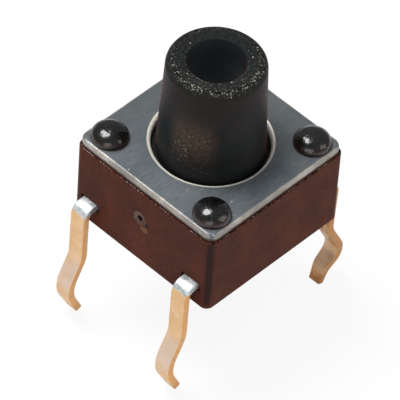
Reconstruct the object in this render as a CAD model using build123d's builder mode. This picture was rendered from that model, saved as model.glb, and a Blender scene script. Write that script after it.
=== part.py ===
from build123d import *
import os
from math import asin, degrees, sqrt

# Tactile push button switch: a 6 mm square, through-hole switch with a tall hollow button stem.
#
# A moulded base carries two stamped terminal strips, moulded in, each with two kinked legs. A snap
# dome rests on the outer terminal's two rim pads, over the centre terminal's pad. The plunger's
# square flange is trapped under a steel cover, which four posts of the base hold down: their ends
# are melted over into round heads. Pressing the stem buckles the dome onto the centre pad.
#
# Millimetres, +Z up. The origin is the middle of the base's underside, where it seats on the board.
# The legs leave the two X faces and pass below the board. A small gate mark is on the -X face.

os.makedirs("parts", exist_ok=True)

# ---- Driving dimensions ----------------------------------------------------------------------

# Moulded base
body_width = 6.0
base_height = 3.13
body_corner_radius = 0.28
base_bottom_break = 0.08
base_top_break = 0.06
pocket_wall = 0.85  # from a side face to the square pocket that guides the plunger
dome_pocket_wall = 0.925  # from a side face to the round pocket that holds the dome
gate_mark_diameter = 0.5
gate_mark_depth = 0.04
gate_mark_height = 1.9

# Posts that hold the cover, with their melted heads
post_inset = 0.75  # from a side face to the post's axis
post_diameter = 0.8
post_wall = 0.15  # between a post's foot and the pocket's corner
head_diameter = 1.24
head_height = 0.45
head_foot = 0.06  # straight rim at the foot of a head

# Stamped cover
cover_margin = 0.04  # how far the cover's edge stays inside the base's side face
cover_thickness = 0.27
cover_corner_radius = 0.35
cover_edge_roll = 0.09
cover_hole_roll = 0.12

# Plunger
overall_height = 7.0
flange_thickness = 0.6
flange_lip = 0.335  # from the stem's foot to the edge of the flange
stem_draft = 0.165  # how much the stem's radius shrinks from foot to top
stem_edge_radius = 0.2
stem_bore_diameter = 1.9
stem_bore_depth = 3.0
stem_bore_edge = 0.05
nub_diameter = 1.2
travel = 0.25

# Terminals
strip_thickness = 0.25
strip_width = 0.7
strip_level = 0.85  # height of the strip's mid plane over the seat
lead_inset = 0.75  # from a side face to the middle of a leg's width
lead_width = 0.62
lead_tip_width = 0.45
left_standoff = 0.43  # leg's mid line out from the body's face, at its shoulder
right_standoff = 0.34
shoulder_radius = 0.28
kink_top_radius = 0.9
left_kink_radius = 1.1
right_kink_radius = 0.6
right_heel_radius = 0.5
taper_height = 1.0  # how far up from its tip a leg narrows
# Corners of each leg's mid line, as (out from the body's face, level). The -X legs are splayed a
# little outwards, and the +X legs lean in.
left_kink_top = (0.46, -1.25)
left_kink = (1.10, -2.48)
left_tip = (0.52, -3.62)
right_kink_top = (0.26, -1.26)
right_kink = (1.00, -2.68)
right_heel = (0.32, -3.22)
right_tip = (0.12, -3.77)
neck_top_level = 0.62
neck_bottom_level = 0.25
pad_diameter = 0.64
centre_pad_diameter = 1.1
arm_width = 0.6

# Snap dome
dome_thickness = 0.07
dome_rise = 0.27

# Clearances
post_clearance = 0.03  # round a post in the cover's hole
stem_clearance = 0.135  # round the stem's foot in the cover's hole
flange_side_clearance = 0.05
flange_top_clearance = 0.02
flange_bottom_clearance = 0.1  # left under the flange at full travel
dome_clearance = 0.075  # from the dome's rim to its pocket
nub_clearance = 0.02  # from the nub to the dome at rest
pad_inset = 0.3  # from the dome's rim in to the middle of a rim pad
floor_skin = 0.095  # moulding over the strips, on the floor of the dome's pocket
pad_proud = 0.02  # how far the pads stand over that floor

# ---- Sizes that follow -----------------------------------------------------------------------

half_body = body_width / 2
post_offset = half_body - post_inset
head_radius = head_diameter / 2
lead_offset = half_body - lead_inset
cover_top = base_height + cover_thickness
cover_width = body_width - 2 * cover_margin

strip_bottom = strip_level - strip_thickness / 2
strip_top = strip_level + strip_thickness / 2
floor_level = strip_top + floor_skin
pad_top = floor_level + pad_proud
pad_lift = pad_top - strip_top

pocket_width = body_width - 2 * pocket_wall
pocket_reach = post_offset * sqrt(2) - post_diameter / 2 - post_wall
pocket_corner_radius = (pocket_width / sqrt(2) - pocket_reach) / (sqrt(2) - 1)
dome_pocket_diameter = body_width - 2 * dome_pocket_wall
dome_radius = dome_pocket_diameter / 2 - dome_clearance
dome_sphere_radius = (dome_radius**2 + dome_rise**2) / (2 * dome_rise)
dome_angle = degrees(asin(dome_radius / dome_sphere_radius))
dome_top = pad_top + dome_rise + dome_thickness
pad_offset = dome_radius - pad_inset

flange_top = base_height - flange_top_clearance
flange_bottom = flange_top - flange_thickness
flange_width = pocket_width - 2 * flange_side_clearance
flange_corner_radius = pocket_corner_radius - flange_side_clearance
pocket_floor = flange_bottom - travel - flange_bottom_clearance
stem_foot_radius = flange_width / 2 - flange_lip
stem_top_radius = stem_foot_radius - stem_draft
nub_bottom = dome_top + nub_clearance
cover_hole_radius = stem_foot_radius + stem_clearance

post_plane = Plane.XY.offset(base_height)


# ---- Terminals -------------------------------------------------------------------------------


def lead_line():
    """Mid line of a whole strip, from the tip of its -X leg, across the base, to its +X tip."""
    left = [left_tip, left_kink, left_kink_top, (left_standoff, strip_level)]
    right = [(right_standoff, strip_level), right_kink_top, right_kink, right_heel, right_tip]
    points = [(-half_body - out, level) for out, level in left]
    points += [(half_body + out, level) for out, level in right]
    left_bends = [left_kink_radius, kink_top_radius, shoulder_radius]
    right_bends = [shoulder_radius, kink_top_radius, right_kink_radius, right_heel_radius]
    return FilletPolyline(*points, radius=left_bends + right_bends)


def lead_outline(offset):
    """Width of the strip and its legs, seen from the side, centred on the given offset along Y."""
    lowest = min(left_tip[1], right_tip[1])
    right_side = [
        (strip_width / 2, strip_top + strip_thickness),
        (strip_width / 2, neck_top_level),
        (lead_width / 2, neck_bottom_level),
        (lead_width / 2, lowest + taper_height),
        (lead_tip_width / 2, lowest - strip_thickness),
    ]
    left_side = [(-y, z) for y, z in reversed(right_side)]
    points = [(offset + y, z) for y, z in right_side + left_side]
    return Polyline(*points, close=True)


with BuildPart() as centre_terminal:
    with BuildSketch(Plane.XZ.offset(-lead_offset)):
        with BuildLine():
            lead_line()
        trace(line_width=strip_thickness)
    extrude(amount=strip_width / 2, both=True)
    with BuildSketch(Plane.YZ):
        with BuildLine():
            lead_outline(lead_offset)
        make_face()
    extrude(amount=body_width, both=True, mode=Mode.INTERSECT)
    # Tongue to the middle, with its round pad sheared up through the floor.
    with BuildSketch(Plane.XY.offset(strip_bottom)):
        with Locations((0, lead_offset / 2)):
            Rectangle(arm_width, lead_offset)
        Circle(centre_pad_diameter / 2 + floor_skin)
    extrude(amount=strip_thickness)
    with BuildSketch(Plane.XY.offset(strip_bottom)):
        Circle(centre_pad_diameter / 2)
    extrude(amount=pad_lift, mode=Mode.SUBTRACT)
    with BuildSketch(Plane.XY.offset(strip_top)):
        Circle(centre_pad_diameter / 2)
    extrude(amount=pad_lift)

centre_terminal.part.label = "centre_terminal"
export_step(centre_terminal.part, "parts/centre_terminal.step")

with BuildPart() as outer_terminal:
    with BuildSketch(Plane.XZ.offset(lead_offset)):
        with BuildLine():
            lead_line()
        trace(line_width=strip_thickness)
    extrude(amount=strip_width / 2, both=True)
    with BuildSketch(Plane.YZ):
        with BuildLine():
            lead_outline(-lead_offset)
        make_face()
    extrude(amount=body_width, both=True, mode=Mode.INTERSECT)
    # Two arms under the dome's rim, each with its pad sheared up through the floor.
    with BuildSketch(Plane.XY.offset(strip_bottom)):
        with Locations((-pad_offset, -lead_offset / 2), (pad_offset, -lead_offset / 2)):
            Rectangle(arm_width, lead_offset)
        with Locations((-pad_offset, 0), (pad_offset, 0)):
            Circle(pad_diameter / 2 + floor_skin)
    extrude(amount=strip_thickness)
    with BuildSketch(Plane.XY.offset(strip_bottom)):
        with Locations((-pad_offset, 0), (pad_offset, 0)):
            Circle(pad_diameter / 2)
    extrude(amount=pad_lift, mode=Mode.SUBTRACT)
    with BuildSketch(Plane.XY.offset(strip_top)):
        with Locations((-pad_offset, 0), (pad_offset, 0)):
            Circle(pad_diameter / 2)
    extrude(amount=pad_lift)

outer_terminal.part.label = "outer_terminal"
export_step(outer_terminal.part, "parts/outer_terminal.step")


# ---- Base ------------------------------------------------------------------------------------

with BuildPart() as post_head:
    crown = head_height - head_foot
    crown_radius = (head_radius**2 + crown**2) / (2 * crown)
    with BuildSketch(Plane.XZ):
        with BuildLine():
            dome_line = CenterArc(
                (0, head_height - crown_radius),
                crown_radius,
                90 - degrees(asin(head_radius / crown_radius)),
                degrees(asin(head_radius / crown_radius)),
            )
            Polyline(dome_line @ 1, (0, 0), (head_radius, 0), dome_line @ 0)
        make_face()
    revolve(axis=Axis.Z)

with BuildPart() as base:
    with BuildSketch():
        RectangleRounded(body_width, body_width, body_corner_radius)
    extrude(amount=base_height)
    chamfer(base.faces().sort_by(Axis.Z)[-1].edges(), base_top_break)
    fillet(base.faces().sort_by(Axis.Z)[0].edges(), base_bottom_break)
    # Square pocket for the flange, and the round one below it for the dome.
    with BuildSketch(Plane.XY.offset(pocket_floor)):
        RectangleRounded(pocket_width, pocket_width, pocket_corner_radius)
    extrude(amount=base_height - pocket_floor, mode=Mode.SUBTRACT)
    with BuildSketch(Plane.XY.offset(floor_level)):
        Circle(dome_pocket_diameter / 2)
    extrude(amount=pocket_floor - floor_level, mode=Mode.SUBTRACT)
    # Posts through the cover, and their melted heads.
    with BuildSketch(post_plane):
        with GridLocations(2 * post_offset, 2 * post_offset, 2, 2):
            Circle(post_diameter / 2)
    extrude(amount=cover_thickness)
    with BuildSketch(Plane.YZ.offset(-half_body)):
        with Locations((0, gate_mark_height)):
            Circle(gate_mark_diameter / 2)
    extrude(amount=gate_mark_depth, mode=Mode.SUBTRACT)
    # The strips are moulded in, so the block fits round them face to face.
    add(centre_terminal.part, mode=Mode.SUBTRACT)
    add(outer_terminal.part, mode=Mode.SUBTRACT)
    with Locations((0, 0, cover_top)):
        with GridLocations(2 * post_offset, 2 * post_offset, 2, 2):
            add(post_head.part)

base.part.label = "base"
export_step(base.part, "parts/base.step")


# ---- Cover -----------------------------------------------------------------------------------

with BuildPart() as cover:
    with BuildSketch(post_plane):
        RectangleRounded(cover_width, cover_width, cover_corner_radius)
        Circle(cover_hole_radius, mode=Mode.SUBTRACT)
        with GridLocations(2 * post_offset, 2 * post_offset, 2, 2):
            Circle(post_diameter / 2 + post_clearance, mode=Mode.SUBTRACT)
    extrude(amount=cover_thickness)
    top_face = cover.faces().filter_by(Axis.Z).sort_by(Axis.Z)[-1]
    fillet(top_face.outer_wire().edges(), cover_edge_roll)
    stem_hole_edge = cover.edges().filter_by(GeomType.CIRCLE).filter_by(
        lambda edge: abs(edge.radius - cover_hole_radius) < post_clearance / 2
    )
    fillet(stem_hole_edge.sort_by(Axis.Z)[-1], cover_hole_roll)

cover.part.label = "cover"
export_step(cover.part, "parts/cover.step")


# ---- Plunger ---------------------------------------------------------------------------------

with BuildPart() as plunger:
    with BuildSketch(Plane.XY.offset(flange_bottom)):
        RectangleRounded(flange_width, flange_width, flange_corner_radius)
    extrude(amount=flange_thickness)
    with BuildSketch(Plane.XZ):
        with BuildLine():
            Polyline(
                (0, nub_bottom),
                (nub_diameter / 2, nub_bottom),
                (nub_diameter / 2, flange_bottom),
                (stem_foot_radius, flange_bottom),
                (stem_foot_radius, flange_top),
                (stem_top_radius, overall_height),
                (stem_bore_diameter / 2, overall_height),
                (stem_bore_diameter / 2, overall_height - stem_bore_depth),
                (0, overall_height - stem_bore_depth),
                close=True,
            )
        make_face()
    revolve(axis=Axis.Z)
    rims = plunger.edges().filter_by(GeomType.CIRCLE).group_by(Axis.Z)[-1].sort_by(SortBy.RADIUS)
    fillet(rims[-1], stem_edge_radius)
    rims = plunger.edges().filter_by(GeomType.CIRCLE).group_by(Axis.Z)[-1].sort_by(SortBy.RADIUS)
    fillet(rims[0], stem_bore_edge)

plunger.part.label = "plunger"
export_step(plunger.part, "parts/plunger.step")


# ---- Snap dome -------------------------------------------------------------------------------

with BuildPart() as contact_dome:
    dome_centre = (0, pad_top + dome_rise - dome_sphere_radius)
    with BuildSketch(Plane.XZ):
        with BuildLine():
            inside = CenterArc(dome_centre, dome_sphere_radius, 90 - dome_angle, dome_angle)
            outside = CenterArc(
                dome_centre, dome_sphere_radius + dome_thickness, 90 - dome_angle, dome_angle
            )
            Line(inside @ 0, outside @ 0)
            Line(inside @ 1, outside @ 1)
        make_face()
    revolve(axis=Axis.Z)

contact_dome.part.label = "contact_dome"
export_step(contact_dome.part, "parts/contact_dome.step")
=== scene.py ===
import math

import bmesh
import bpy
from mathutils import Matrix, Vector


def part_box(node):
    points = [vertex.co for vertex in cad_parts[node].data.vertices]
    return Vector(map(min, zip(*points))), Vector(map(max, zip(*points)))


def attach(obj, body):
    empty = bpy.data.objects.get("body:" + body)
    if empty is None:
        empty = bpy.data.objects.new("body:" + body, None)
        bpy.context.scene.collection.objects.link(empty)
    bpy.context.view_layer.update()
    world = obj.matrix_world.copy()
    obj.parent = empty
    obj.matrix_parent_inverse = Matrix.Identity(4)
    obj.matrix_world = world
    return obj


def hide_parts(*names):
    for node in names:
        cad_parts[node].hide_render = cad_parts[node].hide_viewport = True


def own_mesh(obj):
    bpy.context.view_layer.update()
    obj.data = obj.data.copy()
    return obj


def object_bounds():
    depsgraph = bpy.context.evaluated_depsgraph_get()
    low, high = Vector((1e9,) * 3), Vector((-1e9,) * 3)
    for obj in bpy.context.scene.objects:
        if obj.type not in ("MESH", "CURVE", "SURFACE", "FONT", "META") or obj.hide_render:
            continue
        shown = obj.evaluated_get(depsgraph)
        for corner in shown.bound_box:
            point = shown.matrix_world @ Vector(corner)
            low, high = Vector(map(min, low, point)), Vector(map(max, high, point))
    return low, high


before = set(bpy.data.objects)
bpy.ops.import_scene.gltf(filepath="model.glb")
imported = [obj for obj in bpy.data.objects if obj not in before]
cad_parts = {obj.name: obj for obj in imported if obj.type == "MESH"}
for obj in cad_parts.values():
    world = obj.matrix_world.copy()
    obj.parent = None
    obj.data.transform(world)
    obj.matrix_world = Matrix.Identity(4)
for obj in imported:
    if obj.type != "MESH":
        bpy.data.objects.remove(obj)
cad_low, cad_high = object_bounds()

MM = 0.001


# ---- The bench ---------------------------------------------------------------------------------
# The switch stands on the tips of its leads on a white bench, seen from above its front corner
# with a long lens. A small lamp hangs high on the left, and two broad ones fill in from the front
# and the right.


class Shade:
    """A shader socket. Sums on sockets add Math nodes, and node() adds any other node."""

    def __init__(self, tree, socket):
        self.tree = tree
        self.socket = socket

    def math(self, operation, *others, clamp=False):
        made = self.tree.nodes.new("ShaderNodeMath")
        made.operation = operation
        made.use_clamp = clamp
        for slot, value in zip(made.inputs, others):
            plug(self.tree, slot, value)
        return Shade(self.tree, made.outputs[0])

    def __add__(self, other):
        return self.math("ADD", self, other)

    def __sub__(self, other):
        return self.math("SUBTRACT", self, other)

    def __rsub__(self, other):
        return self.math("SUBTRACT", other, self)

    def __mul__(self, other):
        return self.math("MULTIPLY", self, other)

    def __truediv__(self, other):
        return self.math("DIVIDE", self, other)

    def size(self):
        return self.math("ABSOLUTE", self)

    def root(self):
        return self.math("SQRT", self)

    def larger(self, other):
        return self.math("MAXIMUM", self, other)

    def smaller(self, other):
        return self.math("MINIMUM", self, other)

    def ramp(self, low, high, start=0.0, end=1.0):
        """Smooth change from start to end as this value goes from low to high."""
        return self.node(
            "ShaderNodeMapRange",
            {"interpolation_type": "SMOOTHSTEP"},
            {"Value": self, "From Min": low, "From Max": high, "To Min": start, "To Max": end},
        )

    def band(self, low, high, blur):
        """1 between low and high, and 0 outside them."""
        return self.ramp(low - blur, low + blur) * self.ramp(high - blur, high + blur, 1.0, 0.0)

    def node(self, kind, settings, sockets, output=0):
        return add_node(self.tree, kind, settings, sockets, output)


def plug(tree, slot, value):
    if isinstance(value, Shade):
        tree.links.new(value.socket, slot)
    else:
        slot.default_value = value


def add_node(tree, kind, settings, sockets, output=0):
    """Adds one node, sets it up, plugs in its sockets, and gives the output asked for."""
    made = tree.nodes.new(kind)
    for name, value in settings.items():
        setattr(made, name, value)
    for name, value in sockets.items():
        plug(tree, made.inputs[name], value)
    return Shade(tree, made.outputs[output])


def dress(shader, sockets):
    """Gives a shader its colour, gloss and relief, by the names of its inputs."""
    for name, value in sockets.items():
        plug(shader.id_data, shader.inputs[name], value)


def new_material(name):
    """A material, its Principled shader, and the point on the piece in millimetres."""
    material = bpy.data.materials.new(name)
    material.use_nodes = True
    tree = material.node_tree
    shader = tree.nodes["Principled BSDF"]
    place = add_node(tree, "ShaderNodeTexCoord", {}, {}, "Object")
    point = add_node(
        tree, "ShaderNodeVectorMath", {"operation": "SCALE"}, {"Vector": place, "Scale": 1 / MM}
    )
    return material, shader, point


def axes_of(point):
    """The three numbers of a point."""
    return [add_node(point.tree, "ShaderNodeSeparateXYZ", {}, {"Vector": point}, n) for n in range(3)]


def noise(point, scale, detail=2.0, roughness=0.5, stretch=(1, 1, 1)):
    """Soft random pattern from 0 to 1, with the given number of spots to a millimetre."""
    moved = add_node(
        point.tree, "ShaderNodeVectorMath", {"operation": "MULTIPLY"}, {0: point, 1: stretch}
    )
    sockets = {"Vector": moved, "Scale": scale, "Detail": detail, "Roughness": roughness}
    return add_node(point.tree, "ShaderNodeTexNoise", {}, sockets)


def specks(point, per_mm, share, radius):
    """Small round specks: 1 in each speck, on about the given share of the cells."""
    cell = {"Vector": point, "Scale": per_mm}
    reach = add_node(point.tree, "ShaderNodeTexVoronoi", {}, cell, "Distance")
    colour = add_node(point.tree, "ShaderNodeTexVoronoi", {}, cell, "Color")
    draw = add_node(point.tree, "ShaderNodeSeparateXYZ", {}, {"Vector": colour}, 0)
    return reach.ramp(radius * 0.6, radius, 1.0, 0.0) * draw.math("LESS_THAN", draw, share)


def distance(across, up):
    """Distance from the middle, of a place given by two numbers."""
    return (across * across + up * up).root()


def blend_colour(factor, first, second):
    """Mixes two colours, or a colour and a socket, by a factor."""
    tree = factor.tree
    made = tree.nodes.new("ShaderNodeMix")
    made.data_type = "RGBA"
    plug(tree, made.inputs[0], factor)
    plug(tree, made.inputs[6], first)
    plug(tree, made.inputs[7], second)
    return Shade(tree, made.outputs[2])


def bump(height, depth):
    """Normal of a surface raised by height times depth, in millimetres."""
    sockets = {"Height": height, "Distance": depth * MM, "Strength": 1.0}
    return add_node(height.tree, "ShaderNodeBump", {}, sockets)


def srgb(red, green, blue):
    """A colour given in display values of 0 to 255, as the shader needs it."""
    linear = [
        c / 255 / 12.92 if c / 255 <= 0.04045 else ((c / 255 + 0.055) / 1.055) ** 2.4
        for c in (red, green, blue)
    ]
    return (*linear, 1.0)


# Where the camera sits: its angles in degrees, and how far its frame is shifted aside and up.
CAMERA_AZIMUTH = -48.41
CAMERA_ELEVATION = 47.54
CAMERA_ROLL = 4.25
CAMERA_DISTANCE = 156.8 * MM
CAMERA_ASIDE = -0.1786 * MM
CAMERA_RAISED = 0.3997 * MM
LENS_PER_WIDTH = 12.27
SENSOR_WIDTH = 36.0


def direction(azimuth, elevation):
    """Unit vector from the switch towards a place around it. Azimuth 0 is in front, on -Y."""
    a = math.radians(azimuth)
    e = math.radians(elevation)
    return Vector((math.sin(a) * math.cos(e), -math.cos(a) * math.cos(e), math.sin(e)))


def aimed(place, target, roll=0.0):
    """Placement of a lamp or camera at a place, turned to a target and rolled about that line."""
    turn = (target - place).to_track_quat("-Z", "Y").to_matrix().to_4x4()
    return Matrix.Translation(place) @ turn @ Matrix.Rotation(math.radians(roll), 4, "Z")


camera_data = bpy.data.cameras.new("camera")
camera_data.sensor_width = SENSOR_WIDTH
camera_data.lens = SENSOR_WIDTH * LENS_PER_WIDTH
camera_data.clip_start = 5 * MM
camera_data.clip_end = 5.0
camera = bpy.data.objects.new("camera", camera_data)
bpy.context.scene.collection.objects.link(camera)
view_line = direction(CAMERA_AZIMUTH, CAMERA_ELEVATION)
camera.matrix_world = aimed(view_line * CAMERA_DISTANCE, Vector((0, 0, 0)), CAMERA_ROLL)
camera.matrix_world @= Matrix.Translation((CAMERA_ASIDE, CAMERA_RAISED, 0))
bpy.context.scene.camera = camera

WHITE = (1.0, 1.0, 1.0, 1.0)
CEILING = (0.93, 0.96, 1.0, 1.0)
CEILING_LEVEL = 0.35
PAPER = (0.86, 0.86, 0.86, 1.0)
FLOOR_HALF = 0.6
FLOOR_SHOWN = 0.9  # how much of the bench is seen as plain white, which leaves a faint shadow
LAMP_TARGET = Vector((0, 0, 2 * MM))


def add_lamp(name, azimuth, elevation, away, width, power, colour):
    lamp_data = bpy.data.lights.new(name, "AREA")
    lamp_data.shape = "DISK"
    lamp_data.size = width
    lamp_data.energy = power
    lamp_data.color = colour
    lamp = bpy.data.objects.new(name, lamp_data)
    bpy.context.scene.collection.objects.link(lamp)
    lamp.matrix_world = aimed(direction(azimuth, elevation) * away, LAMP_TARGET)


add_lamp("overhead_light", CAMERA_AZIMUTH - 113, 68, 0.20, 0.10, 0.40, (1.0, 0.99, 0.97))
add_lamp("front_light", CAMERA_AZIMUTH - 12, 22, 0.30, 0.22, 0.22, (1.0, 0.97, 0.94))
add_lamp("right_light", CAMERA_AZIMUTH + 75, 30, 0.30, 0.20, 0.20, (1.0, 0.95, 0.91))

world = bpy.data.worlds.new("room")
bpy.context.scene.world = world
world.use_nodes = True
room = world.node_tree
rays = room.nodes.new("ShaderNodeLightPath")
sees = Shade(room, rays.outputs["Is Camera Ray"])
plug(room, room.nodes["Background"].inputs["Color"], blend_colour(sees, CEILING, WHITE))
plug(room, room.nodes["Background"].inputs["Strength"], sees.ramp(0, 1, CEILING_LEVEL, 1.0))

bpy.context.scene.view_settings.view_transform = "Standard"

floor_mesh = bpy.data.meshes.new("bench_top")
floor_corners = [
    (x * FLOOR_HALF, y * FLOOR_HALF, cad_low.z) for x, y in ((-1, -1), (1, -1), (1, 1), (-1, 1))
]
floor_mesh.from_pydata(floor_corners, [], [(0, 1, 2, 3)])
floor = bpy.data.objects.new("bench_top", floor_mesh)
bpy.context.scene.collection.objects.link(floor)
paper = bpy.data.materials.new("white_paper")
paper.use_nodes = True
sheet = paper.node_tree
sheet.nodes.remove(sheet.nodes["Principled BSDF"])
rays = sheet.nodes.new("ShaderNodeLightPath")
straight = Shade(sheet, rays.outputs["Is Camera Ray"]).larger(
    Shade(sheet, rays.outputs["Is Glossy Ray"])
)
plain = add_node(sheet, "ShaderNodeBsdfDiffuse", {}, {"Color": PAPER})
bright = add_node(sheet, "ShaderNodeEmission", {}, {"Color": WHITE, "Strength": 1.0})
mixed = add_node(
    sheet, "ShaderNodeMixShader", {}, {0: straight * FLOOR_SHOWN, 1: plain, 2: bright}
)
plug(sheet, sheet.nodes["Material Output"].inputs["Surface"], mixed)
floor_mesh.materials.append(paper)


# ---- Terminal strips ---------------------------------------------------------------------------
# Two stamped and bent strips of plated brass cross the base, each ending in two kinked leads that
# snap into the board. The sheared side faces show the bare metal, and the shoulders are painted near
# white, as a painted reflection.

THICKNESS = 0.25 * MM
STRIP_LEVEL = 0.85 * MM
EDGE_ROUND = 0.045 * MM
STRIP_WIDTH = 0.70 * MM
LEAD_WIDTH = 0.62 * MM
NECK_LEVELS = (0.25 * MM, 0.62 * MM)  # between them the strip narrows to the lead's width
TAPER_HEIGHT = 1.0 * MM  # how far up from its tip a lead narrows
TIP_WIDTH = 0.45 * MM
LEAD_INSET = 0.75 * MM  # from the side of the body to the middle of a lead
ARM_WIDTH = 0.60 * MM
PAD_TOP = 1.09 * MM
PAD_ROUND = 0.03 * MM
body_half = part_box("base")[1].x
base_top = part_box("cover")[0].z
cover_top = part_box("cover")[1].z
lead_aside = body_half - LEAD_INSET

# Corners of each lead's mid line from its tip up, as the distance out from the body's side face,
# the level, and the radius of the bend. The -X leads are splayed a little. The +X ones lean in,
# and bend once more near the tip.
SPLAYED = [
    (0.52 * MM, -3.62 * MM, 0.0),
    (1.10 * MM, -2.48 * MM, 1.1 * MM),
    (0.46 * MM, -1.25 * MM, 0.9 * MM),
    (0.43 * MM, STRIP_LEVEL, 0.28 * MM),
]
LEANING = [
    (0.12 * MM, -3.77 * MM, 0.0),
    (0.32 * MM, -3.22 * MM, 0.5 * MM),
    (1.00 * MM, -2.68 * MM, 0.6 * MM),
    (0.26 * MM, -1.26 * MM, 0.9 * MM),
    (0.34 * MM, STRIP_LEVEL, 0.28 * MM),
]


class Geometry:
    """A geometry node tree in the making: its inputs by name, its usual nodes, and its end."""

    def __init__(self, name, inputs):
        self.tree = bpy.data.node_groups.new(name, "GeometryNodeTree")
        face = self.tree.interface
        face.new_socket("Geometry", in_out="INPUT", socket_type="NodeSocketGeometry")
        face.new_socket("Geometry", in_out="OUTPUT", socket_type="NodeSocketGeometry")
        self.keys = {}
        self.values = inputs
        for label, value in inputs.items():
            whole = isinstance(value, int)
            kind = "NodeSocketInt" if whole else "NodeSocketFloat"
            self.keys[label] = face.new_socket(label, in_out="INPUT", socket_type=kind).identifier
        self.start = self.tree.nodes.new("NodeGroupInput")
        self.end = self.tree.nodes.new("NodeGroupOutput")

    def given(self, label):
        return self.start.outputs[label]

    def add(self, kind, settings=None, sockets=None, output=0):
        made = self.tree.nodes.new(kind)
        for name, value in (settings or {}).items():
            setattr(made, name, value)
        for name, value in (sockets or {}).items():
            if isinstance(value, bpy.types.NodeSocket):
                self.tree.links.new(value, made.inputs[name])
            else:
                made.inputs[name].default_value = value
        return made.outputs[output]

    def sums(self, operation, *values):
        return self.add("ShaderNodeMath", {"operation": operation}, dict(enumerate(values)))

    def place(self):
        return self.add("GeometryNodeInputPosition")

    def axis(self, vector, number):
        return self.add("ShaderNodeSeparateXYZ", {}, {"Vector": vector}, number)

    def vector(self, **axes):
        return self.add("ShaderNodeCombineXYZ", {}, axes)

    def ramp(self, value, low, high, start, end, kind="SMOOTHSTEP"):
        """Change from start to end as the value goes from low to high."""
        sockets = {"Value": value, "From Min": low, "From Max": high, "To Min": start, "To Max": end}
        return self.add("ShaderNodeMapRange", {"interpolation_type": kind}, sockets)

    def raised(self, shape, height):
        """The shape, moved up by a height."""
        sockets = {"Geometry": shape, "Translation": self.vector(Z=height)}
        return self.add("GeometryNodeTransform", {}, sockets)

    def eased(self, curve, steps, radius):
        """The curve, with its corners rounded."""
        sockets = {"Curve": curve, "Count": steps, "Radius": radius}
        return self.add("GeometryNodeFilletCurve", {"mode": "POLY"}, sockets)

    def make(self, shape, material, curve=None):
        """Closes the tree on a shape, runs it on the curve, if any, and gives the plain mesh."""
        real = self.add("GeometryNodeRealizeInstances", {}, {"Geometry": shape})
        done = self.add("GeometryNodeSetMaterial", {}, {"Geometry": real, "Material": material})
        self.tree.links.new(done, self.end.inputs[0])
        name = self.tree.name
        host = bpy.data.objects.new(name, curve or bpy.data.meshes.new(name))
        bpy.context.scene.collection.objects.link(host)
        modifier = host.modifiers.new(name, "NODES")
        modifier.node_group = self.tree
        for label, value in self.values.items():
            modifier[self.keys[label]] = value
        graph = bpy.context.evaluated_depsgraph_get()
        mesh = bpy.data.meshes.new_from_object(host.evaluated_get(graph), depsgraph=graph)
        bpy.data.objects.remove(host)
        return mesh


def show(name, mesh, angle=35.0):
    """Links a mesh as a piece, shaded smooth but sharp at edges past the angle."""
    piece = bpy.data.objects.new(name, mesh)
    bpy.context.scene.collection.objects.link(piece)
    mesh.shade_smooth()
    mesh.set_sharp_from_angle(angle=math.radians(angle))
    return piece


def make_terminal_metal():
    material, shader, point = new_material("plated_brass_strip")
    x, _, z = axes_of(point)
    cut = add_node(point.tree, "ShaderNodeAttribute", {"attribute_name": "cut_face"}, {}, "Fac")
    cloud = noise(point, 2.2, 3.0)
    grain = noise(point, 9.0, 4.0, 0.6, stretch=(1, 3.0, 0.6))
    tan = blend_colour(cloud.ramp(0.3, 0.7), srgb(221, 180, 131), srgb(231, 195, 154))
    tan = blend_colour(grain.ramp(0.35, 0.8, 0.0, 0.35), tan, srgb(208, 160, 106))
    # Painted shade: the +X leads, which stand behind the body, are painted darker all over and
    # darkest above the kink. Their tips are painted dark brown.
    far_leads = x.ramp(2.6, 3.0)
    drawn = noise(point, 4.0, 3.0, 0.6, stretch=(1.0, 2.4, 0.35))
    tan = blend_colour(far_leads * 0.6, tan, srgb(208, 158, 98))
    shade_above_kink = far_leads * drawn.ramp(0.36, 0.6, 0.15, 0.8) * z.ramp(-2.5, -2.1)
    tan = blend_colour(shade_above_kink, tan, srgb(138, 96, 50))
    # Painted reflection: where a lead slopes out below the kink and faces up, it is painted pale
    # grey, as it mirrors the bright room above. There is less of it on the +X leads.
    sky_reflection = (z + far_leads * 0.95).band(-2.45, -1.35, 0.4) * cloud.ramp(0.25, 0.6, 0.45, 1.0)
    tan = blend_colour(sky_reflection * (0.75 - far_leads * 0.35), tan, srgb(216, 196, 184))
    raw = blend_colour(grain.ramp(0.3, 0.7), srgb(206, 148, 84), srgb(222, 172, 114))
    raw = blend_colour(far_leads * 0.6, raw, srgb(150, 96, 44))
    colour = blend_colour(cut.ramp(0.35, 0.75), tan, raw)
    tip = (z + (cloud - 0.5) * 0.5).ramp(-3.1, -3.6)
    colour = blend_colour(tip * 0.7, colour, srgb(196, 132, 62))
    dark_tip = far_leads * (z + (cloud - 0.5) * 0.6).ramp(-3.1, -3.7)
    colour = blend_colour(dark_tip * 0.7, colour, srgb(124, 78, 42))
    # Painted reflection: the up-facing shoulder bends are painted near white and more metallic, with
    # greyer patches.
    shoulder = (z + (cloud - 0.5) * 0.22).ramp(0.70, 0.80)
    patch = noise(point, 3.2, 3.0, 0.6)
    shoulder_glare = blend_colour(grain.ramp(0.35, 0.65), srgb(234, 238, 238), srgb(198, 206, 210))
    shoulder_glare = blend_colour(patch.ramp(0.45, 0.62, 0.0, 0.7), shoulder_glare, srgb(146, 156, 162))
    colour = blend_colour(shoulder, colour, shoulder_glare)
    dress(
        shader,
        {
            "Base Color": colour,
            "Metallic": shoulder.ramp(0, 1, 0.55, 0.75),
            "Roughness": (grain * 0.2 + 0.36).smaller(0.6),
            "Normal": bump(grain + cloud * 2.0, 0.004),
        },
    )
    return material


terminal_metal = make_terminal_metal()


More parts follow.
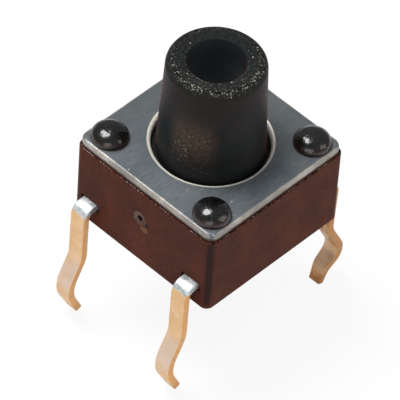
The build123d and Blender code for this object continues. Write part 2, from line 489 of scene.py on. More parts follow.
def lead_route(aside):
    """The strip's mid line from its -X tip, through the base, to its +X tip, with its corners."""
    curve = bpy.data.curves.new("strip_route", "CURVE")
    curve.dimensions = "3D"
    line = curve.splines.new("POLY")
    stops = [(-body_half - out, level, bend) for out, level, bend in SPLAYED]
    stops += [(body_half + out, level, bend) for out, level, bend in reversed(LEANING)]
    line.points.add(len(stops) - 1)
    for stop, (along, level, bend) in zip(line.points, stops):
        stop.co = (along, aside, level, 1.0)
        stop.radius = bend / MM
    return curve


def skin(name, shell, material=None):
    """Turns a finished closed shell into a mesh, with every face looking outwards."""
    bmesh.ops.recalc_face_normals(shell, faces=shell.faces)
    mesh = bpy.data.meshes.new(name)
    shell.to_mesh(mesh)
    shell.free()
    if material:
        mesh.materials.append(material)
    return mesh


def add_box(shell, place, size):
    spot = Matrix.LocRotScale(place, None, size)
    bmesh.ops.create_cube(shell, size=1.0, matrix=spot)


def add_lathe(shell, path, place, around=48):
    """Turns an outline of (radius, height) about Z into a closed solid, put where place says."""
    rows = []
    for radius, height in path:
        if radius == 0:
            rows.append([shell.verts.new(place @ Vector((0, 0, height)))] * around)
            continue
        angles = [math.tau * n / around for n in range(around)]
        spots = [Vector((radius * math.cos(a), radius * math.sin(a), height)) for a in angles]
        rows.append([shell.verts.new(place @ spot) for spot in spots])
    for low, high in zip(rows, rows[1:]):
        for n in range(around):
            corners = [low[n - 1], low[n], high[n], high[n - 1]]
            shell.faces.new(list(dict.fromkeys(corners)))
    if path[-1][0] > 0:
        shell.faces.new(rows[-1])


def add_contacts(mesh, aside, arms, radius):
    """Adds the flat arms of a strip, at these places along X, each with a raised round pad."""
    shell = bmesh.new()
    shell.from_mesh(mesh)
    under = STRIP_LEVEL - THICKNESS / 2
    for along in arms:
        place = Vector((along, aside / 2, STRIP_LEVEL))
        add_box(shell, place, (ARM_WIDTH, abs(aside), THICKNESS))
        eased = PAD_ROUND * 0.3  # how far the middle of the rounded rim stands in from its corner
        pad = [(0.0, under), (radius, under), (radius, PAD_TOP - PAD_ROUND)]
        pad += [(radius - eased, PAD_TOP - eased), (radius - PAD_ROUND, PAD_TOP), (0.0, PAD_TOP)]
        add_lathe(shell, pad, Matrix.Translation((along, 0, 0)))
    shell.to_mesh(mesh)
    shell.free()
    return mesh


def make_leads(aside):
    """One strip with its two leads: a rounded flat section along the route, narrowed downwards."""
    tree = Geometry(
        "kinked_leads",
        {
            "Thickness": THICKNESS,
            "Strip Width": STRIP_WIDTH,
            "Lead Width": LEAD_WIDTH,
            "Tip Width": TIP_WIDTH,
            "Edge Round": EDGE_ROUND,
            "Middle": aside,
            "Tip Level": cad_low.z,
            "Taper Height": TAPER_HEIGHT,
            "Bend Steps": 14,
            "Edge Steps": 4,
            "Route Points": 260,
        },
    )
    bend = tree.sums("MULTIPLY", tree.add("GeometryNodeInputRadius"), MM)
    route = tree.eased(tree.start.outputs[0], tree.given("Bend Steps"), bend)
    route = tree.add("GeometryNodeSetCurveRadius", {}, {"Curve": route, "Radius": 1.0})
    route = tree.add(
        "GeometryNodeResampleCurve",
        {"mode": "COUNT"},
        {"Curve": route, "Count": tree.given("Route Points")},
    )
    route = tree.add(
        "GeometryNodeSetCurveNormal", {"mode": "FREE"}, {"Curve": route, "Normal": (0, 1, 0)}
    )
    section = tree.add(
        "GeometryNodeCurvePrimitiveQuadrilateral",
        {"mode": "RECTANGLE"},
        {"Width": tree.given("Strip Width"), "Height": tree.given("Thickness")},
    )
    section = tree.eased(section, tree.given("Edge Steps"), tree.given("Edge Round"))
    bar = tree.add(
        "GeometryNodeCurveToMesh",
        {},
        {"Curve": route, "Profile Curve": section, "Fill Caps": True},
    )
    level = tree.axis(tree.place(), 2)
    across = tree.sums("SUBTRACT", tree.axis(tree.place(), 1), tree.given("Middle"))
    neck = tree.ramp(level, *NECK_LEVELS, tree.given("Lead Width"), tree.given("Strip Width"))
    taper_end = tree.sums("ADD", tree.given("Tip Level"), tree.given("Taper Height"))
    narrow = tree.ramp(
        level, tree.given("Tip Level"), taper_end, tree.given("Tip Width"), tree.given("Lead Width")
    )
    width = tree.sums("MINIMUM", neck, narrow)
    share = tree.sums("SUBTRACT", tree.sums("DIVIDE", width, tree.given("Strip Width")), 1.0)
    shift = tree.vector(Y=tree.sums("MULTIPLY", across, share))
    shaped = tree.add("GeometryNodeSetPosition", {}, {"Geometry": bar, "Offset": shift})
    facing = tree.axis(tree.add("GeometryNodeInputNormal"), 1)
    marked = tree.add(
        "GeometryNodeStoreNamedAttribute",
        {"data_type": "FLOAT", "domain": "POINT"},
        {"Geometry": shaped, "Name": "cut_face", "Value": tree.sums("ABSOLUTE", facing)},
    )
    return tree.make(marked, terminal_metal, lead_route(aside))


# Each strip's name, the side of the middle it runs on, where its arms are, and its pads' radius.
for name, side, arms, pad in (
    ("centre_terminal", 1, (0.0,), 0.55 * MM),
    ("outer_terminal", -1, (-1.7 * MM, 1.7 * MM), 0.32 * MM),
):
    aside = side * lead_aside
    leads = show(name + "_strip", add_contacts(make_leads(aside), aside, arms, pad))
    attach(leads, "housing")
    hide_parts(name)


# ---- Base moulding -----------------------------------------------------------------------------
# A reddish dark brown block, injection moulded round both strips. It is hollow for the dome and the
# button's flange. Its top edge is stepped under the cover, and its gate mark is on the -X face.

AROUND_SIDE = 20  # points of a ring along each side
AROUND_CORNER = 10  # and round each corner
CORNER_START = 42.0  # degrees from the middle of a side
SUPPORT = 0.02 * MM  # how far beside an arc the point that supports it stands
QUARTERS = [(-1, -1), (-1, 1), (1, -1), (1, 1)]


def spoke_angles():
    """Angles of the points of every ring: some along each side, and more round each corner."""
    side = [(2 * n / (AROUND_SIDE - 1) - 1) * (CORNER_START - 1) for n in range(AROUND_SIDE)]
    turn = 90 - 2 * CORNER_START
    corner = [CORNER_START + turn * n / (AROUND_CORNER - 1) for n in range(AROUND_CORNER)]
    return [math.radians(90 * quarter + angle) for quarter in range(4) for angle in side + corner]


SPOKES = spoke_angles()


def ring(half, corner, level):
    """A square ring with rounded corners, one point on each spoke. With corner = half it is round."""
    points = []
    middle = half - corner
    for angle in SPOKES:
        along, across = sorted((abs(math.cos(angle)), abs(math.sin(angle))), reverse=True)
        reach = half / along
        if reach * across > middle:
            total = middle * (along + across)
            reach = total + math.sqrt(max(total * total - 2 * middle * middle + corner * corner, 0))
        points.append(Vector((reach * math.cos(angle), reach * math.sin(angle), level)))
    return points


def rounded(path, steps=5):
    """Outline of a section, given as (out, level, radius) corners: arcs, and a point beside each."""
    points = []
    for n, (out, level, radius) in enumerate(path):
        here = Vector((out, level))
        if radius == 0:
            points.append(here)
            continue
        before = (Vector(path[n - 1][:2]) - here).normalized()
        after = (Vector(path[(n + 1) % len(path)][:2]) - here).normalized()
        half_turn = before.angle(after) / 2
        tangent = radius / math.tan(half_turn)
        centre = here + (before + after).normalized() * (radius / math.sin(half_turn))
        start = here + before * tangent - centre
        end = here + after * tangent - centre
        points.append(centre + start + before * SUPPORT)
        points += [centre + start.slerp(end, step / steps) * radius for step in range(steps + 1)]
        points.append(centre + end + after * SUPPORT)
    return points


def loft(name, rings, material, closed=False):
    """A solid's skin through rings, first to last. The ends are closed by fans, or to each other."""
    shell = bmesh.new()
    rows = [[shell.verts.new(point) for point in points] for points in rings]
    pairs = list(zip(rows, rows[1:]))
    if closed:
        pairs.append((rows[-1], rows[0]))
    for low, high in pairs:
        for n in range(len(low)):
            shell.faces.new((low[n - 1], low[n], high[n], high[n - 1]))
    if not closed:
        for row in (rows[0], rows[-1]):
            middle = shell.verts.new(sum((v.co for v in row), Vector()) / len(row))
            for n in range(len(row)):
                shell.faces.new((row[n - 1], row[n], middle))
    return skin(name, shell, material)


def carve(mesh, cutter):
    """Cuts one closed mesh out of another and gives the plain result."""
    body = bpy.data.objects.new("carved", mesh)
    tool = bpy.data.objects.new("cutter", cutter)
    for part in (body, tool):
        bpy.context.scene.collection.objects.link(part)
    cut = body.modifiers.new("cut", "BOOLEAN")
    cut.object = tool
    cut.solver = "EXACT"
    graph = bpy.context.evaluated_depsgraph_get()
    result = bpy.data.meshes.new_from_object(body.evaluated_get(graph), depsgraph=graph)
    for part in (body, tool):
        bpy.data.objects.remove(part)
    return result


GATE = Vector((-body_half, 0.08 * MM, 1.9 * MM))
GATE_OUTLINE = [  # half section of the cutter, in mm: the stump in its middle, a ring and a groove
    (0.0, 0.09),
    (0.05, 0.085),
    (0.09, 0.02),
    (0.15, 0.03),
    (0.21, 0.028),
    (0.25, 0.0),
    (0.25, -0.1),
]


def make_base_moulding():
    material, shader, point = new_material("brown_base_moulding")
    x, y, z = axes_of(point)
    cloud = noise(point, 0.9, 4.0, 0.6)
    mottle = noise(point, 6.0, 4.0, 0.7)
    grain = noise(point, 24.0, 3.0, 0.7)
    colour = blend_colour(cloud.ramp(0.32, 0.68), srgb(62, 31, 24), srgb(80, 40, 30))
    colour = blend_colour(mottle.ramp(0.42, 0.7, 0.0, 0.55), colour, srgb(52, 35, 31))
    colour = blend_colour(grain.ramp(0.48, 0.68, 0.0, 0.6), colour, srgb(112, 64, 50))
    # Painted reflection: the rounded upright corners are glossier and painted darker, as they mirror
    # dark surroundings.
    corner = x.size().smaller(y.size()).ramp(2.78, 2.86) * z.ramp(0.05, 0.3)
    colour = blend_colour(corner * 0.8, colour, srgb(34, 24, 24))
    # The gate: a pale ring round a middle painted nearly black, and a smear where it was snapped off.
    # The ring is painted paler on its upper side, as a painted highlight.
    gate_y = y - GATE.y / MM
    gate_z = z - GATE.z / MM
    on_face = x.ramp(-2.9, -2.94)
    edge = distance(gate_y, gate_z) + (mottle - 0.5) * 0.22
    lit_side = (gate_y * 0.5 + gate_z * 0.5).ramp(-0.2, 0.12, 0.35, 1.0)
    pale = edge.ramp(0.29, 0.24) * edge.ramp(0.09, 0.13) * on_face * lit_side
    colour = blend_colour(pale * 0.62, colour, srgb(112, 102, 96))
    colour = blend_colour(edge.ramp(0.12, 0.09) * on_face, colour, srgb(20, 18, 22))
    smear_y = (gate_y + 0.22) / 0.2
    smear_z = (gate_z + 0.36) / 0.14
    smear = (smear_y * smear_y + smear_z * smear_z + (mottle - 0.5) * 3.0).ramp(1.2, 0.3)
    colour = blend_colour(smear * on_face * 0.65, colour, srgb(116, 84, 60))
    chip_y = (gate_y + 0.34) / 0.09
    chip_z = (gate_z + 0.1) / 0.09
    chip = (chip_y * chip_y + chip_z * chip_z + (mottle - 0.5)).ramp(1.1, 0.5)
    colour = blend_colour(chip * on_face * 0.85, colour, srgb(22, 18, 22))
    dust = specks(point, 3.4, 0.05, 0.11)
    colour = blend_colour(dust * 0.5, colour, srgb(150, 118, 98))
    dress(
        shader,
        {
            "Base Color": colour,
            "Roughness": mottle * 0.2 + 0.48 - corner * 0.2,
            "Specular IOR Level": 0.05,
            "Sheen Weight": 0.06,
            "Sheen Roughness": 0.15,
            "Sheen Tint": srgb(224, 96, 48),
            "Normal": bump(cloud * 3.0 + mottle * 0.8 + grain * 0.35, 0.006),
        },
    )
    return material


base_moulding = make_base_moulding()

BASE_CORNER = 0.28 * MM
BASE_EDGE_ROUND = 0.08 * MM
FINE_ROUND = 0.01 * MM
STEP_HEIGHT = 0.085 * MM
STEP_DEPTH = 0.09 * MM
POCKET_WALL = 0.85 * MM
POCKET_CORNER = 0.98 * MM
POCKET_FLOOR = 2.16 * MM
DOME_POCKET_RADIUS = 2.075 * MM
CAVITY_FLOOR = 1.07 * MM
EJECTOR_SPREAD = 1.55 * MM
EJECTOR_RADIUS = 0.45 * MM
MARK_DEPTH = 0.035 * MM
CUT_SPARE = 0.1 * MM  # how far a cutter starts outside the face it cuts
WINDOW_DEPTH = 0.10 * MM
WINDOW_ROOM = 0.05 * MM
FLASH_INSET = 0.035 * MM
pocket_half = body_half - POCKET_WALL


def make_base():
    outside = [
        (body_half * 0.5, 0.0, 0.0),
        (body_half, 0.0, BASE_EDGE_ROUND),
        (body_half, base_top - STEP_HEIGHT, 2.5 * FINE_ROUND),
        (body_half - STEP_DEPTH, base_top - STEP_HEIGHT, FINE_ROUND),
        (body_half - STEP_DEPTH, base_top, FINE_ROUND),
        (pocket_half, base_top, 3 * FINE_ROUND),
        (pocket_half, POCKET_FLOOR, 0.0),
    ]
    rings = []
    for out, level in rounded(outside):
        corner = max(BASE_CORNER + out - body_half, 2 * FINE_ROUND)
        if level > STRIP_LEVEL and out < pocket_half + 6 * FINE_ROUND:
            corner = POCKET_CORNER + out - pocket_half
        rings.append(ring(out, corner, level))
    for level in (POCKET_FLOOR, CAVITY_FLOOR):
        rings.append(ring(DOME_POCKET_RADIUS, DOME_POCKET_RADIUS, level))
    # Shallow round marks: the gate on the -X face, and the four ejector pins underneath.
    marks = bmesh.new()
    gate_place = Matrix.Translation(GATE) @ Matrix.Rotation(math.radians(90), 4, "Y")
    add_lathe(marks, [(out * MM, deep * MM) for out, deep in GATE_OUTLINE], gate_place)
    pin_path = [(0.0, MARK_DEPTH), (EJECTOR_RADIUS - MARK_DEPTH, MARK_DEPTH), (EJECTOR_RADIUS, 0.0)]
    pin_path.append((EJECTOR_RADIUS, -CUT_SPARE))
    for side_x, side_y in QUARTERS:
        place = Vector((side_x * EJECTOR_SPREAD, side_y * EJECTOR_SPREAD, 0))
        add_lathe(marks, pin_path, Matrix.Translation(place))
    # The mould closed round each strip with a little room, which shows as a dark frame.
    window = (2 * WINDOW_DEPTH, STRIP_WIDTH + 2 * WINDOW_ROOM, THICKNESS + 2 * WINDOW_ROOM)
    for side_x, side_y in QUARTERS:
        add_box(marks, Vector((side_x * body_half, side_y * lead_aside, STRIP_LEVEL)), window)
    return carve(loft("base", rings, base_moulding), skin("mould_marks", marks))


base = show("base_block", make_base(), 28)
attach(base, "housing")
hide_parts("base")


def make_flash():
    """Crumbs of thin flash, which the mould left along the step under the cover."""
    tree = Geometry(
        "mould_flash",
        {
            "Width": 2 * (body_half - FLASH_INSET),
            "Corner": BASE_CORNER,
            "Corner Steps": 8,
            "Level": base_top - STEP_HEIGHT,
            "Count": 520,
            "Share": 0.92,
            "Clustering": 1.2,
            "Smallest": 0.008 * MM,
            "Largest": 0.030 * MM,
            "Seed": 7,
        },
    )
    path = tree.add(
        "GeometryNodeCurvePrimitiveQuadrilateral",
        {},
        {"Width": tree.given("Width"), "Height": tree.given("Width")},
    )
    path = tree.eased(path, tree.given("Corner Steps"), tree.given("Corner"))
    path = tree.raised(path, tree.given("Level"))
    spots = tree.add(
        "GeometryNodeCurveToPoints", {"mode": "COUNT"}, {"Curve": path, "Count": tree.given("Count")}
    )
    seed = tree.given("Seed")
    cluster = tree.add("ShaderNodeTexNoise", {}, {"Vector": tree.place(), "Scale": 1.3 / MM}, "Fac")
    chance = tree.add("FunctionNodeRandomValue", {"data_type": "FLOAT"}, {"Seed": seed}, 1)
    chance = tree.sums("ADD", chance, tree.sums("MULTIPLY", cluster, tree.given("Clustering")))
    kept = tree.sums("LESS_THAN", chance, tree.given("Share"))
    size = tree.add(
        "FunctionNodeRandomValue",
        {"data_type": "FLOAT"},
        {2: tree.given("Smallest"), 3: tree.given("Largest"), "Seed": seed},
        1,
    )
    turn = tree.add(
        "FunctionNodeRandomValue",
        {"data_type": "FLOAT_VECTOR"},
        {0: (0, 0, 0), 1: (math.tau, math.tau, math.tau), "Seed": seed},
    )
    crumb = tree.add("GeometryNodeMeshIcoSphere", {}, {"Radius": 1.0, "Subdivisions": 2})
    rough = tree.add("ShaderNodeTexNoise", {}, {"Vector": tree.place(), "Scale": 0.9}, "Fac")
    swell = tree.add(
        "ShaderNodeVectorMath",
        {"operation": "SCALE"},
        {0: tree.place(), "Scale": tree.sums("SUBTRACT", rough, 0.5)},
    )
    crumb = tree.add("GeometryNodeSetPosition", {}, {"Geometry": crumb, "Offset": swell})
    crumbs = tree.add(
        "GeometryNodeInstanceOnPoints",
        {},
        {"Points": spots, "Selection": kept, "Instance": crumb, "Rotation": turn, "Scale": size},
    )
    return tree.make(crumbs, make_flash_plastic())


def make_flash_plastic():
    material, shader, point = new_material("whitened_flash")
    grain = noise(point, 9.0, 2.0)
    colour = blend_colour(grain.ramp(0.35, 0.65), srgb(150, 134, 120), srgb(206, 196, 182))
    normal = bump(grain, 0.003)
    dress(shader, {"Base Color": colour, "Roughness": grain * 0.2 + 0.5, "Normal": normal})
    return material


flash = show("mould_flash", make_flash())
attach(flash, "housing")


# ---- Snap dome ---------------------------------------------------------------------------------
# A thin spring steel disc, pressed to a shallow dome with a small dimple in its crown. It lies loose
# on the outer strip's pads, and the button buckles it down onto the centre pad.

DOME_SHEET = 0.07 * MM
DOME_DIMPLE = 0.04 * MM
DOME_DIMPLE_RADIUS = 0.45 * MM
DOME_STEPS = 18
dome_low, dome_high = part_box("contact_dome")


def make_dome_steel():
    material, shader, point = new_material("polished_dome_steel")
    stroke = noise(point, 5.0, 3.0, 0.6, stretch=(6.0, 0.5, 1.0))
    cloud = noise(point, 1.3, 2.0)
    dress(
        shader,
        {
            "Base Color": blend_colour(
                cloud.ramp(0.3, 0.7), srgb(196, 198, 200), srgb(214, 212, 206)
            ),
            "Metallic": 1.0,
            "Roughness": stroke * 0.2 + 0.16,
            "Normal": bump(stroke, 0.001),
        },
    )
    return material


def make_dome():
    radius = dome_high.x
    rise = dome_high.z - dome_low.z - DOME_SHEET
    under = []
    for n in range(DOME_STEPS + 1):
        out = radius * n / DOME_STEPS
        dimple = DOME_DIMPLE * math.exp(-((out / DOME_DIMPLE_RADIUS) ** 4))
        under.append((out, dome_low.z + rise * (1 - (out / radius) ** 2) - dimple))
    over = [(out, level + DOME_SHEET) for out, level in reversed(under)]
    shell = bmesh.new()
    add_lathe(shell, under + over, Matrix())
    return skin("contact_dome", shell, make_dome_steel())


dome = show("snap_dome", make_dome())
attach(dome, "housing")
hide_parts("contact_dome")
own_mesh(dome)


# ---- Button ------------------------------------------------------------------------------------
# A near-black moulded plunger. Its stem is hollow, tapers to its top and has a rounded shoulder
# round a flat, rough rim. A square flange keeps it under the cover, and a nub presses on the dome.

button_low, button_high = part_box("plunger")
flange_half = button_high.x
BUTTON_TRAVEL_ROOM = 0.02 * MM
flange_top = base_top - BUTTON_TRAVEL_ROOM
FLANGE_THICKNESS = 0.6 * MM
FLANGE_CORNER = 0.93 * MM
STEM_FOOT = 1.765 * MM
STEM_TOP = 1.60 * MM
SHOULDER_ROUND = 0.21 * MM
RIM_STEP = 0.022 * MM
RIM_STEP_WIDTH = 0.03 * MM
RIM_STEP_SLOPE = 0.02 * MM
RIM_STEP_ROUNDS = (0.008 * MM, 0.012 * MM)
BUTTON_EDGE_ROUND = 0.05 * MM
BORE_RADIUS = 0.95 * MM
BORE_DEPTH = 3.0 * MM
BORE_FLOOR_ROUND = 0.08 * MM
NUB_RADIUS = 0.6 * MM
# Directions of the sides where the painted highlight on the stem and the painted glints on the rim
# are strongest.
HIGHLIGHT_SIDE = direction(-68.4, 0)
GLINT_SIDE = direction(-48.4, 0)


def make_button_moulding():
    material, shader, point = new_material("black_button_moulding")
    x, y, z = axes_of(point)
    cloud = noise(point, 1.1, 3.0, 0.6)
    mottle = noise(point, 7.0, 4.0, 0.7)
    grain = noise(point, 15.0, 2.0, 0.6)
    radial = distance(x, y)
    colour = blend_colour(cloud.ramp(0.3, 0.7), srgb(18, 22, 24), srgb(29, 30, 31))
    # Painted glow: browner towards the top of the stem, where the wall is thin, as light showing
    # through it.
    glow = (z + cloud - 0.5).ramp(4.6, 6.6) * radial.ramp(1.35, 1.5)
    colour = blend_colour(glow * 0.5, colour, srgb(34, 25, 21))
    colour = blend_colour(mottle.ramp(0.45, 0.8, 0.0, 0.4), colour, srgb(46, 40, 35))
    # Painted highlight: one side of the stem is painted with a brown haze and pale points.
    facing = (x * HIGHLIGHT_SIDE.x + y * HIGHLIGHT_SIDE.y) / radial
    beside = facing.ramp(0.84, 1.0) * radial.ramp(1.4, 1.5)
    highlight_haze = beside * z.band(4.3, 5.6, 0.7) * mottle.ramp(0.2, 0.6)
    colour = blend_colour(highlight_haze * 0.5, colour, srgb(92, 72, 54))
    points = grain.ramp(0.6, 0.68) * beside * z.band(3.9, 5.3, 0.7) * cloud.ramp(0.35, 0.6)
    colour = blend_colour(points * 0.65, colour, srgb(140, 130, 120))
    # The rim round the bore is spark-eroded and rough. Its bright points and specks are painted
    # glints, most of them at its edges and on the side towards the camera.
    rim = z.ramp(6.86, 6.95) * radial.ramp(0.95, 1.0)
    rim_colour = blend_colour(mottle.ramp(0.35, 0.65), srgb(12, 14, 16), srgb(32, 35, 33))
    colour = blend_colour(rim * 0.9, colour, rim_colour)
    lit_side = ((x * GLINT_SIDE.x + y * GLINT_SIDE.y) / radial).ramp(-0.6, 0.9, 0.15, 1.0)
    highlight = rim * lit_side * (radial.band(1.3, 1.46, 0.05) + radial.band(0.95, 1.0, 0.02) * 0.6 + 0.2)
    points = (grain + (cloud - 0.5) * 0.3).ramp(0.54, 0.64) * highlight
    colour = blend_colour(points.smaller(1.0), colour, srgb(134, 136, 124))
    sparkle = specks(point, 12.0, 0.05, 0.3) * rim
    colour = blend_colour(sparkle * 0.8, colour, srgb(206, 204, 184))
    dust = specks(point, 2.6, 0.05, 0.08)
    colour = blend_colour(dust * 0.9, colour, srgb(190, 180, 176))
    # The bore is matt. Painted light: it is painted paler with depth, which lifts the shade deep
    # inside it.
    inside = radial.ramp(1.0, 0.93) * z.ramp(3.9, 4.1)
    deep = blend_colour(z.ramp(4.0, 6.6), srgb(150, 156, 160), srgb(48, 52, 55))
    colour = blend_colour(inside * 0.95, colour, deep)
    dress(
        shader,
        {
            "Base Color": colour,
            "Roughness": mottle * 0.25 + 0.42 + rim * 0.15,
            "Specular IOR Level": 0.12,
            "Sheen Weight": 0.4,
            "Sheen Roughness": 0.12,
            "Sheen Tint": srgb(236, 84, 30),
            "Normal": bump(cloud * 2.0 + mottle * 1.2 + grain * (rim * 4.0 + 0.6), 0.007),
        },
    )
    return material


def make_button():
    top = button_high.z
    flange_low = flange_top - FLANGE_THICKNESS
    rim_edge = STEM_TOP - SHOULDER_ROUND - RIM_STEP_WIDTH
    nub = [
        (NUB_RADIUS * 0.4, button_low.z, 0.0),
        (NUB_RADIUS, button_low.z, BUTTON_EDGE_ROUND),
        (NUB_RADIUS, flange_low, 0.0),
    ]
    flange = [
        (NUB_RADIUS, flange_low, 0.0),
        (flange_half, flange_low, BUTTON_EDGE_ROUND),
        (flange_half, flange_top, BUTTON_EDGE_ROUND),
        (STEM_FOOT, flange_top, 0.0),
    ]
    stem = [
        (STEM_FOOT, flange_top, 0.0),
        (STEM_TOP, top - RIM_STEP, SHOULDER_ROUND),
        (rim_edge, top - RIM_STEP, RIM_STEP_ROUNDS[0]),
        (rim_edge - RIM_STEP_SLOPE, top, RIM_STEP_ROUNDS[1]),
        (BORE_RADIUS, top, BUTTON_EDGE_ROUND),
        (BORE_RADIUS, top - BORE_DEPTH, BORE_FLOOR_ROUND),
        (BORE_RADIUS * 0.4, top - BORE_DEPTH, 0.0),
    ]
    rings = [ring(out, out, level) for out, level in rounded(nub)]
    for out, level in rounded(flange)[1:-1]:
        rings.append(ring(out, FLANGE_CORNER + out - flange_half, level))
    rings += [ring(out, out, level) for out, level in rounded(stem)]
    return loft("plunger", rings, make_button_moulding())


button = show("button_stem", make_button(), 30)
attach(button, "button")
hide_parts("plunger")


# ---- Cover -------------------------------------------------------------------------------------
# A square of rolled steel sheet, punched for the stem and the four posts. Punching rolled its edges
# over, and their pale shine is painted on as a highlight. The flat top is dulled, with a few fine
# scratches.

cover_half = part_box("cover")[1].x
COVER_CORNER = 0.35 * MM
EDGE_ROLL = 0.10 * MM
HOLE_RADIUS = 1.90 * MM
HOLE_ROLL = 0.13 * MM
BURR_ROUND = 0.02 * MM
POST_INSET = 0.75 * MM  # from the side of the body to the middle of a post
POST_HOLE = 0.43 * MM
# The plate is painted darker towards this side, as shade.
BACK_CORNER = direction(131.6, 0)
post_aside = body_half - POST_INSET


def make_cover_steel():
    material, shader, point = new_material("rolled_steel_sheet")
    x, y, z = axes_of(point)
    cloud = noise(point, 0.8, 4.0, 0.6)
    mottle = noise(point, 5.0, 4.0, 0.65)
    rolled = noise(point, 7.0, 4.0, 0.7, stretch=(0.25, 5.0, 1.0))
    scratch = noise(point, 1.7, 2.0, 0.5, stretch=(0.6, 9.0, 1.0))
    radial = distance(x, y)
    level = z - base_top / MM
    colour = blend_colour(cloud.ramp(0.3, 0.7), srgb(86, 93, 99), srgb(107, 114, 119))
    colour = blend_colour(mottle.ramp(0.35, 0.75, 0.0, 0.45), colour, srgb(94, 101, 103))
    colour = blend_colour(rolled.ramp(0.5, 0.72, 0.0, 0.35), colour, srgb(150, 155, 159))
    line = scratch.band(0.615, 0.63, 0.008) * cloud.ramp(0.5, 0.62)
    colour = blend_colour(line * 0.6, colour, srgb(200, 194, 188))
    # Painted shade: the plate is painted darker towards its back corner. Painted glints: small bright
    # points all over it.
    back_shade = x * BACK_CORNER.x + y * BACK_CORNER.y + cloud
    colour = blend_colour(back_shade.ramp(-1.8, 2.4, 0.0, 0.55), colour, srgb(84, 88, 90))
    glint = specks(point, 5.0, 0.035, 0.16)
    colour = blend_colour(glint * 0.8, colour, srgb(232, 230, 224))
    # Painted highlights: the rolled edge and the roll of the stem hole are painted pale, greyer near
    # the corners. The torn lower part of the side is darker, partly its own burr and partly painted
    # shade above the gap beneath it.
    rim = x.size().larger(y.size()) * -1.0 + cover_half / MM + (mottle - 0.5) * 0.05
    edge = rim.ramp(0.085, 0.045)
    highlight = blend_colour(cloud.ramp(0.35, 0.65), srgb(130, 126, 121), srgb(180, 174, 166))
    highlight = blend_colour(mottle.ramp(0.4, 0.7, 0.0, 0.7), highlight, srgb(140, 128, 118))
    corner = x.size().smaller(y.size()).ramp(2.2, 2.8)
    highlight = blend_colour(corner * 0.6, highlight, srgb(134, 134, 132))
    colour = blend_colour(edge, colour, highlight)
    torn_and_shaded = (level + (mottle - 0.5) * 0.16).ramp(0.12, 0.06)
    colour = blend_colour(torn_and_shaded * 0.9, colour, srgb(66, 54, 50))
    # Painted highlight on the rolled lip of the stem hole.
    lip = (radial - HOLE_RADIUS / MM).ramp(0.15, 0.10) * radial.ramp(1.88, 1.895)
    colour = blend_colour(lip, colour, srgb(236, 231, 220))
    dress(
        shader,
        {
            "Base Color": colour,
            "Metallic": edge.larger(lip).ramp(0, 1, 0.5, 0.3),
            "Roughness": mottle * 0.18 + rolled * 0.12 + 0.28 + torn_and_shaded * 0.2,
            "Normal": bump(cloud * 2.0 + mottle * 0.5 + rolled * 0.6 - line * 1.5, 0.004),
        },
    )
    return material


def make_cover():
    section = [
        (cover_half, base_top, BURR_ROUND),
        (cover_half, cover_top, EDGE_ROLL),
        (HOLE_RADIUS, cover_top, HOLE_ROLL),
        (HOLE_RADIUS, base_top, BURR_ROUND),
    ]
    rings = []
    for out, level in rounded(section, 7):
        outer = out > (cover_half + HOLE_RADIUS) / 2
        corner = COVER_CORNER + out - cover_half if outer else out
        rings.append(ring(out, corner, level))
    mesh = loft("cover", rings, make_cover_steel(), closed=True)
    holes = bmesh.new()
    above = cover_top + CUT_SPARE
    below = base_top - CUT_SPARE
    path = [(0.0, above), (POST_HOLE, above), (POST_HOLE, below), (0.0, below)]
    for side_x, side_y in QUARTERS:
        place = Vector((side_x * post_aside, side_y * post_aside, 0))
        add_lathe(holes, path, Matrix.Translation(place), 32)
    return carve(mesh, skin("post_holes", holes))


cover = show("steel_cover", make_cover(), 32)
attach(cover, "housing")
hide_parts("cover")


# ---- Melted post heads -------------------------------------------------------------------------
# Four posts of the base stand up through the cover. A hot tool melts their ends over into round
# heads, which hold everything together. The melted skin is glossy and nearly black.

HEAD_RADIUS = 0.62 * MM
HEAD_HEIGHT = 0.45 * MM
HEAD_FOOT = 0.07 * MM
POST_RADIUS = 0.40 * MM
HEAD_UNDERCUT = -0.09  # below this share of its radius, a head's ball is flat on the cover


def make_head_gloss():
    material, shader, point = new_material("melted_brown_gloss")
    x, y, _ = axes_of(point)
    cloud = noise(point, 2.2, 3.0, 0.6)
    ripple = noise(point, 6.0, 1.0)
    grain = noise(point, 15.0, 1.0)
    colour = blend_colour(cloud.ramp(0.35, 0.7), srgb(6, 7, 7), srgb(19, 19, 17))
    # Painted reflections: pale grey-green specks on the dark skin.
    colour = blend_colour(grain.ramp(0.6, 0.72, 0.0, 0.35) * cloud, colour, srgb(96, 96, 84))
    # Painted reflection: each head is painted brown round its foot.
    beside = distance(x.size() - post_aside / MM, y.size() - post_aside / MM)
    foot = beside.ramp(0.47, 0.62)
    colour = blend_colour(foot * 0.35, colour, srgb(62, 30, 25))
    dress(
        shader,
        {
            "Base Color": colour,
            "Roughness": cloud * 0.12 + 0.12,
            "Specular IOR Level": 0.55,
            "Normal": bump(ripple + grain * 0.2, 0.014),
        },
    )
    return material


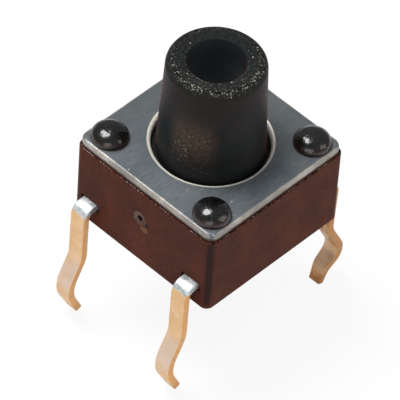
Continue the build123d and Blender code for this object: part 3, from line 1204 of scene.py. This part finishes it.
def make_heads():
    tree = Geometry(
        "melted_heads",
        {
            "Spacing": 2 * post_aside,
            "Radius": HEAD_RADIUS,
            "Height": HEAD_HEIGHT,
            "Foot": HEAD_FOOT,
            "Undercut": HEAD_UNDERCUT,
            "Post Radius": POST_RADIUS,
            "Post Length": cover_top - base_top,
            "Top": cover_top,
            "Unevenness": 0.022 * MM,
            "Seed": 4,
        },
    )
    ball = tree.add("GeometryNodeMeshUVSphere", {}, {"Segments": 64, "Rings": 32, "Radius": 1.0})
    x, y, z = [tree.axis(tree.place(), number) for number in range(3)]
    above = tree.sums("MAXIMUM", z, 0.0)
    crown = tree.sums("SUBTRACT", tree.given("Height"), tree.given("Foot"))
    below = tree.ramp(z, tree.given("Undercut"), 0.0, 0.0, tree.given("Foot"), "LINEAR")
    swollen = tree.vector(
        X=tree.sums("MULTIPLY", x, tree.given("Radius")),
        Y=tree.sums("MULTIPLY", y, tree.given("Radius")),
        Z=tree.sums("ADD", tree.sums("MULTIPLY", above, crown), below),
    )
    head = tree.add("GeometryNodeSetPosition", {}, {"Geometry": ball, "Position": swollen})
    post = tree.add(
        "GeometryNodeMeshCylinder",
        {},
        {"Vertices": 48, "Radius": tree.given("Post Radius"), "Depth": tree.given("Post Length")},
    )
    post = tree.raised(post, tree.sums("MULTIPLY", tree.given("Post Length"), -0.5))
    both = tree.tree.nodes.new("GeometryNodeJoinGeometry")
    for shape in (post, head):
        tree.tree.links.new(shape, both.inputs[0])
    spots = tree.add(
        "GeometryNodeMeshGrid",
        {},
        {
            "Size X": tree.given("Spacing"),
            "Size Y": tree.given("Spacing"),
            "Vertices X": 2,
            "Vertices Y": 2,
        },
    )
    spots = tree.raised(spots, tree.given("Top"))
    turn = tree.add(
        "FunctionNodeRandomValue", {"data_type": "FLOAT"}, {"Seed": tree.given("Seed")}, 1
    )
    turn = tree.vector(Z=tree.sums("MULTIPLY", turn, math.tau))
    heads = tree.add(
        "GeometryNodeInstanceOnPoints",
        {},
        {"Points": spots, "Instance": both.outputs[0], "Rotation": turn},
    )
    heads = tree.add("GeometryNodeRealizeInstances", {}, {"Geometry": heads})
    # Each head set a little uneven: one noise in space moves the points above the cover.
    wave = tree.add(
        "ShaderNodeTexNoise", {}, {"Vector": tree.place(), "Scale": 1.6 / MM, "Detail": 1.0}, "Color"
    )
    wave = tree.add("ShaderNodeVectorMath", {"operation": "SUBTRACT"}, {0: wave, 1: (0.5, 0.5, 0.5)})
    over = tree.sums("SUBTRACT", tree.axis(tree.place(), 2), tree.given("Top"))
    amount = tree.ramp(over, 0.0, 0.2 * MM, 0.0, tree.given("Unevenness"), "LINEAR")
    wave = tree.add("ShaderNodeVectorMath", {"operation": "SCALE"}, {0: wave, "Scale": amount})
    heads = tree.add("GeometryNodeSetPosition", {}, {"Geometry": heads, "Offset": wave})
    return tree.make(heads, make_head_gloss())


heads = show("post_heads", make_heads(), 40)
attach(heads, "housing")
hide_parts("base")
